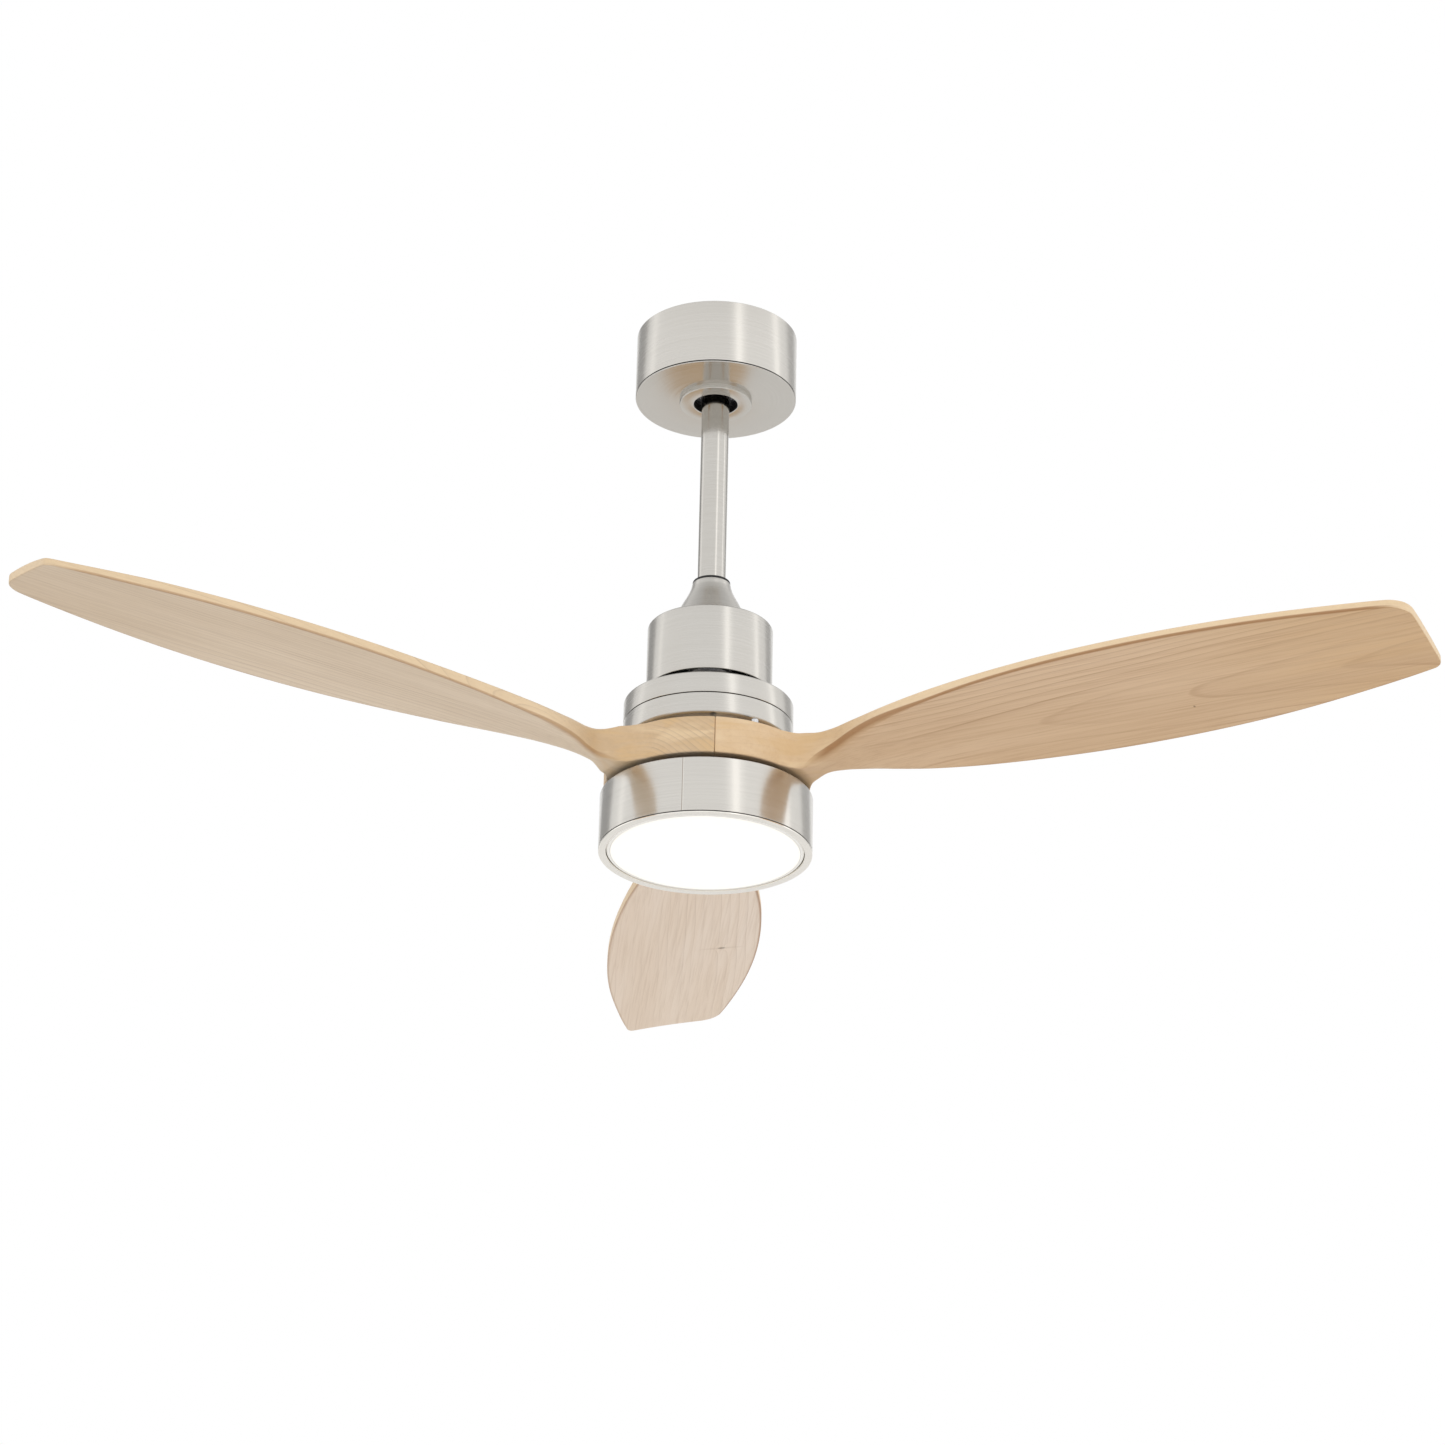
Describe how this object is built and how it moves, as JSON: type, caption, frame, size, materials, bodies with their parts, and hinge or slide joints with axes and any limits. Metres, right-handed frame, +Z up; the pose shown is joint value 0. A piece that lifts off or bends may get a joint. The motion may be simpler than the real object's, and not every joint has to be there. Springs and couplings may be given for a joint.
{
  "type": "ceiling fan with light",
  "caption": "Ceiling fan with pitched wooden blades carved to meet round the hub, short rod with ball hanger, drum housings in brushed nickel and a flat opal LED light below.",
  "frame": {"origin": "centre of the hanger bracket's flat top face, which meets the ceiling", "axes": "+Z up, along the line the fan hangs on and turns about; the joint between two hub sectors faces close to -Y"},
  "size_m": [1.1781, 1.0491, 0.5148],
  "materials": {
    "brushed_nickel": "brushed satin nickel",
    "zinc_plated_steel": "bright zinc plate",
    "screw_steel": "bright zinc plate",
    "cast_aluminium": "as cast",
    "bearing_steel": "ground and polished",
    "stator_steel": "laminated electrical steel",
    "magnet": "matt dark grey",
    "copper_winding": "enamelled wire",
    "blade_wood": "clear satin lacquer on pale solid wood",
    "black_rubber": "matt black",
    "nylon": "moulded, off-white",
    "terminal_plastic": "moulded, off-white",
    "circuit_board": "green solder mask",
    "lead_insulation": "black flexible sheath",
    "opal_diffuser": "opal, satin, lit from behind"
  },
  "bodies": {
    "ceiling_mount": {"hanger_bracket": "zinc_plated_steel", "terminal_block": "terminal_plastic", "earth_screw": "screw_steel", "supply_lead": "lead_insulation", "canopy": "brushed_nickel", "canopy_collar": "brushed_nickel", "canopy_screw_left": "screw_steel", "canopy_screw_right": "screw_steel"},
    "ball_seat": {"socket_liner": "nylon"},
    "hanging_frame": {"downrod": "brushed_nickel", "hanger_ball": "nylon", "ball_cross_pin": "screw_steel", "ball_set_screw": "screw_steel", "rod_coupler": "cast_aluminium", "coupler_screw_front": "screw_steel", "coupler_screw_back": "screw_steel", "clevis_pin": "screw_steel", "cotter_pin": "screw_steel", "cone_cover": "brushed_nickel", "rod_grommet": "black_rubber", "upper_cover": "brushed_nickel", "cover_screw_front": "screw_steel", "cover_screw_back": "screw_steel", "drive_board": "circuit_board", "motor_lead": "lead_insulation", "light_lead": "lead_insulation", "motor_shaft": "zinc_plated_steel", "stator_core": "stator_steel", "stator_carrier": "cast_aluminium", "upper_winding": "copper_winding", "lower_winding": "copper_winding", "light_plate": "zinc_plated_steel", "light_drum": "brushed_nickel", "drum_screw_1": "screw_steel", "drum_screw_2": "screw_steel", "drum_screw_3": "screw_steel", "shaft_washer": "screw_steel", "shaft_nut": "screw_steel", "led_driver": "terminal_plastic", "led_board": "cast_aluminium", "bezel_ring": "brushed_nickel", "diffuser": "opal_diffuser"},
    "rotor": {"upper_rotor_shell": "brushed_nickel", "lower_rotor_shell": "brushed_nickel", "rotor_magnet_ring": "magnet", "upper_bearing": "bearing_steel", "lower_bearing": "bearing_steel", "blade_1": "blade_wood", "blade_2": "blade_wood", "blade_3": "blade_wood", "rim_screw_1": "screw_steel", "rim_screw_2": "screw_steel", "rim_screw_3": "screw_steel", "blade_screw_1": "screw_steel", "blade_screw_2": "screw_steel", "blade_screw_3": "screw_steel", "blade_screw_4": "screw_steel", "blade_screw_5": "screw_steel", "blade_screw_6": "screw_steel"}
  },
  "joints": [
    {"name": "swing_x", "type": "hinge", "parent": "ceiling_mount", "child": "ball_seat", "pos_m": [0, 0, -0.038], "axis": [1, 0, 0], "range_deg": [-8, 8]},
    {"name": "swing_y", "type": "hinge", "parent": "ball_seat", "child": "hanging_frame", "pos_m": [0, 0, -0.038], "axis": [0, 1, 0], "range_deg": [-8, 8]},
    {"name": "fan_spin", "type": "hinge", "parent": "hanging_frame", "child": "rotor", "pos_m": [0, 0, -0.4], "axis": [0, 0, 1], "continuous": true}
  ]
}
